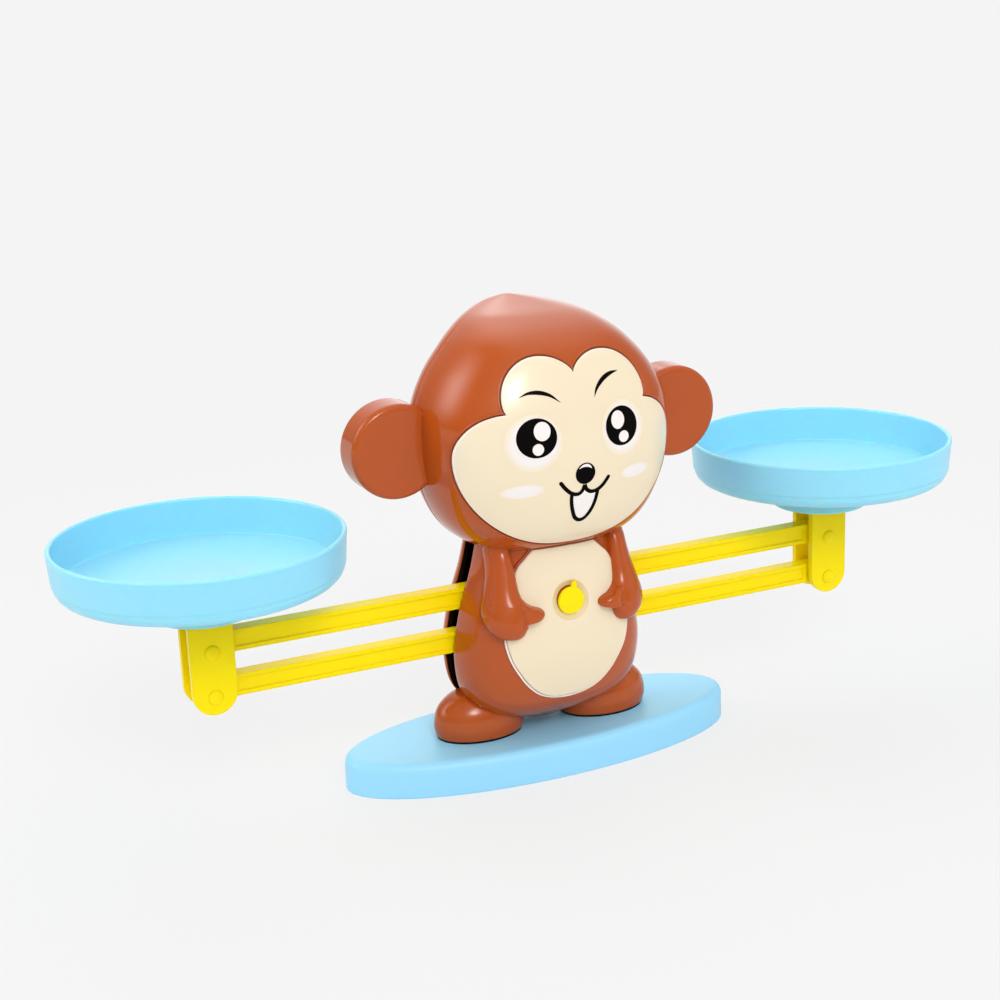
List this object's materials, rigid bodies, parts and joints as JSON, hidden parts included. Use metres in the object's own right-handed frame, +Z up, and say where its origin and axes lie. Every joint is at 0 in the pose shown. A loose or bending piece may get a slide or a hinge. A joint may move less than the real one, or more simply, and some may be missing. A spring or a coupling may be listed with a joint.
{
  "type": "toy balance scale",
  "caption": "Toy balance with a moulded monkey on an oval base, parallel beams and level round pans, used to compare the weight of small objects.",
  "frame": {"origin": "centre of the oval base on the floor", "axes": "+X along the beams to the viewer's right, -Y the way the monkey faces, +Z up"},
  "size_m": [0.3994, 0.1142, 0.1943],
  "materials": {
    "blue_plastic": "gloss",
    "yellow_plastic": "gloss",
    "brown_plastic": "gloss",
    "cream_plastic": "gloss",
    "pin_plastic": "gloss",
    "steel": "satin"
  },
  "bodies": {
    "stand": {"base_plate": "blue_plastic", "left_foot": "brown_plastic", "right_foot": "brown_plastic", "body_front": "brown_plastic", "body_back": "brown_plastic", "belly_panel": "cream_plastic", "left_arm": "brown_plastic", "right_arm": "brown_plastic", "head_front": "brown_plastic", "head_back": "brown_plastic", "face_plate": "cream_plastic", "left_ear": "brown_plastic", "right_ear": "brown_plastic", "lower_axle": "steel", "body_screws": "steel", "head_screws": "steel", "foot_screws": "steel"},
    "upper_beam": {"upper_beam": "yellow_plastic", "upper_axle": "steel", "pointer": "yellow_plastic"},
    "lower_beam": {"lower_beam": "yellow_plastic"},
    "left_carrier": {"left_carrier": "yellow_plastic", "left_upper_pin": "pin_plastic", "left_lower_pin": "pin_plastic", "left_pan": "blue_plastic"},
    "right_carrier": {"right_carrier": "yellow_plastic", "right_upper_pin": "pin_plastic", "right_lower_pin": "pin_plastic", "right_pan": "blue_plastic"}
  },
  "joints": [
    {"name": "upper_beam_tilt", "type": "hinge", "parent": "stand", "child": "upper_beam", "pos_m": [0, 0, 0.0764], "axis": [0, 1, 0], "range_deg": [-10, 10]},
    {"name": "lower_beam_tilt", "type": "hinge", "parent": "stand", "child": "lower_beam", "pos_m": [0, 0, 0.0579], "axis": [0, 1, 0], "range_deg": [-10, 10]},
    {"name": "left_carrier_swing", "type": "hinge", "parent": "upper_beam", "child": "left_carrier", "pos_m": [-0.1426, 0, 0.0732], "axis": [0, 1, 0], "range_deg": [-10, 10]},
    {"name": "right_carrier_swing", "type": "hinge", "parent": "upper_beam", "child": "right_carrier", "pos_m": [0.1426, 0, 0.0732], "axis": [0, 1, 0], "range_deg": [-10, 10]}
  ],
  "couplings": [
    {"joint": "lower_beam_tilt", "follows": "upper_beam_tilt", "ratio": 1},
    {"joint": "left_carrier_swing", "follows": "upper_beam_tilt", "ratio": -1},
    {"joint": "right_carrier_swing", "follows": "upper_beam_tilt", "ratio": -1}
  ]
}
